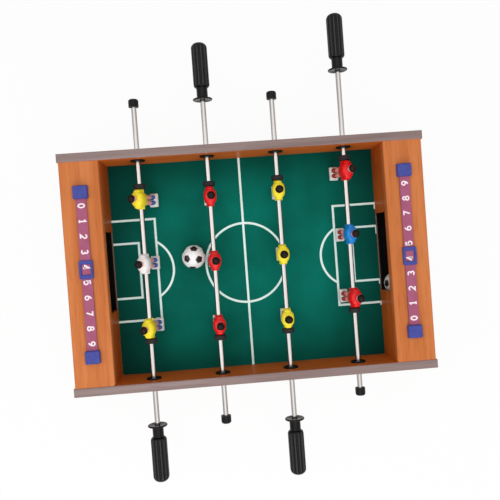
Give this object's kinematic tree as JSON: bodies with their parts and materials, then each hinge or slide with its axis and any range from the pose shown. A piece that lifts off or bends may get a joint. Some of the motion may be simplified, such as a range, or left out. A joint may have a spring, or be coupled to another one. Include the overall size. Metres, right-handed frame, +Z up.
{
  "type": "tabletop foosball table",
  "caption": "Tabletop foosball table: wood-grain box with a green pitch, chromed rods of moulded men that slide and spin, goals with pockets and sliding score markers.",
  "frame": {"origin": "on the surface the table stands on, under the middle of its outline with the rods as they stand (the middle of the pitch is at y -17.7 mm)", "axes": "+X along the pitch towards the right goal, +Y across it towards the far rail, +Z up"},
  "size_m": [0.5, 0.6442, 0.104],
  "materials": {
    "wood_grain_foil": "satin printed foil on MDF",
    "pitch_print": "printed hardboard, satin",
    "black_moulding": "moulded, fine matt texture",
    "handle_grip": "moulded, semi-gloss",
    "chrome_rod": "polished chrome plate",
    "black_rubber": "matt moulded rubber",
    "yellow_men": "moulded and painted, gloss",
    "red_men": "moulded and painted, gloss",
    "white_keeper": "moulded and painted, gloss",
    "blue_keeper": "moulded and painted, gloss",
    "score_violet": "moulded, semi-gloss",
    "score_mauve": "printed strip, satin",
    "screw_steel": "zinc-plated steel",
    "ball_white": "moulded, printed black patches"
  },
  "bodies": {
    "cabinet": {"side_rail_far": "wood_grain_foil", "side_rail_near": "wood_grain_foil", "pitch_board": "pitch_print", "rubber_feet": "black_rubber", "cabinet_screws": "screw_steel", "end_top_left": "wood_grain_foil", "end_panel_left": "wood_grain_foil", "goal_wall_left": "wood_grain_foil", "goal_pocket_left": "black_moulding", "score_base_left": "score_violet", "score_strip_left": "score_mauve", "end_top_right": "wood_grain_foil", "end_panel_right": "wood_grain_foil", "goal_wall_right": "wood_grain_foil", "goal_pocket_right": "black_moulding", "score_base_right": "score_violet", "score_strip_right": "score_mauve", "yellow_keeper_bushing_near": "black_moulding", "yellow_keeper_bushing_far": "black_moulding", "red_attack_bushing_near": "black_moulding", "red_attack_bushing_far": "black_moulding", "yellow_attack_bushing_near": "black_moulding", "yellow_attack_bushing_far": "black_moulding", "red_keeper_bushing_near": "black_moulding", "red_keeper_bushing_far": "black_moulding"},
    "yellow_keeper_stops": {"yellow_keeper_stop_rings": "black_rubber"},
    "yellow_keeper_line": {"yellow_keeper_rod": "chrome_rod", "yellow_keeper_handle": "handle_grip", "yellow_keeper_end_cap": "black_moulding", "yellow_keeper_man_screws": "screw_steel", "yellow_keeper_man_far": "yellow_men", "yellow_keeper_man_middle": "white_keeper", "yellow_keeper_man_near": "yellow_men"},
    "red_attack_stops": {"red_attack_stop_rings": "black_rubber"},
    "red_attack_line": {"red_attack_rod": "chrome_rod", "red_attack_handle": "handle_grip", "red_attack_end_cap": "black_moulding", "red_attack_man_screws": "screw_steel", "red_attack_man_far": "red_men", "red_attack_man_middle": "red_men", "red_attack_man_near": "red_men"},
    "yellow_attack_stops": {"yellow_attack_stop_rings": "black_rubber"},
    "yellow_attack_line": {"yellow_attack_rod": "chrome_rod", "yellow_attack_handle": "handle_grip", "yellow_attack_end_cap": "black_moulding", "yellow_attack_man_screws": "screw_steel", "yellow_attack_man_far": "yellow_men", "yellow_attack_man_middle": "yellow_men", "yellow_attack_man_near": "yellow_men"},
    "red_keeper_stops": {"red_keeper_stop_rings": "black_rubber"},
    "red_keeper_line": {"red_keeper_rod": "chrome_rod", "red_keeper_handle": "handle_grip", "red_keeper_end_cap": "black_moulding", "red_keeper_man_screws": "screw_steel", "red_keeper_man_far": "red_men", "red_keeper_man_middle": "blue_keeper", "red_keeper_man_near": "red_men"},
    "score_marker_left": {"score_slider_left": "score_violet"},
    "score_marker_right": {"score_slider_right": "score_violet"},
    "ball_in_goal": {"goal_ball": "ball_white"}
  },
  "joints": [
    {"name": "yellow_keeper_rod_slide", "type": "slide", "parent": "cabinet", "child": "yellow_keeper_stops", "axis": [0, 1, 0], "range_m": [-0.04767, 0.03113]},
    {"name": "yellow_keeper_rod_turn", "type": "hinge", "parent": "yellow_keeper_stops", "child": "yellow_keeper_line", "pos_m": [-0.1445, -0.00945, 0.0725], "axis": [0, -1, 0], "continuous": true},
    {"name": "red_attack_rod_slide", "type": "slide", "parent": "cabinet", "child": "red_attack_stops", "axis": [0, 1, 0], "range_m": [-0.04511, 0.03369]},
    {"name": "red_attack_rod_turn", "type": "hinge", "parent": "red_attack_stops", "child": "red_attack_line", "pos_m": [-0.04817, -0.01201, 0.0725], "axis": [0, -1, 0], "continuous": true},
    {"name": "yellow_attack_rod_slide", "type": "slide", "parent": "cabinet", "child": "yellow_attack_stops", "axis": [0, 1, 0], "range_m": [-0.04689, 0.03191]},
    {"name": "yellow_attack_rod_turn", "type": "hinge", "parent": "yellow_attack_stops", "child": "yellow_attack_line", "pos_m": [0.04817, -0.01024, 0.0725], "axis": [0, -1, 0], "continuous": true},
    {"name": "red_keeper_rod_slide", "type": "slide", "parent": "cabinet", "child": "red_keeper_stops", "axis": [0, 1, 0], "range_m": [-0.06836, 0.01044]},
    {"name": "red_keeper_rod_turn", "type": "hinge", "parent": "red_keeper_stops", "child": "red_keeper_line", "pos_m": [0.1445, 0.01124, 0.0725], "axis": [0, -1, 0], "continuous": true},
    {"name": "score_left_slide", "type": "slide", "parent": "cabinet", "child": "score_marker_left", "axis": [0, 1, 0], "range_m": [-0.0967, 0.0826]},
    {"name": "score_right_slide", "type": "slide", "parent": "cabinet", "child": "score_marker_right", "axis": [0, 1, 0], "range_m": [-0.0826, 0.0967]},
    {"name": "goal_ball_roll", "type": "slide", "parent": "cabinet", "child": "ball_in_goal", "axis": [0, 1, 0], "range_m": [-0.00365, 0.10055]}
  ]
}
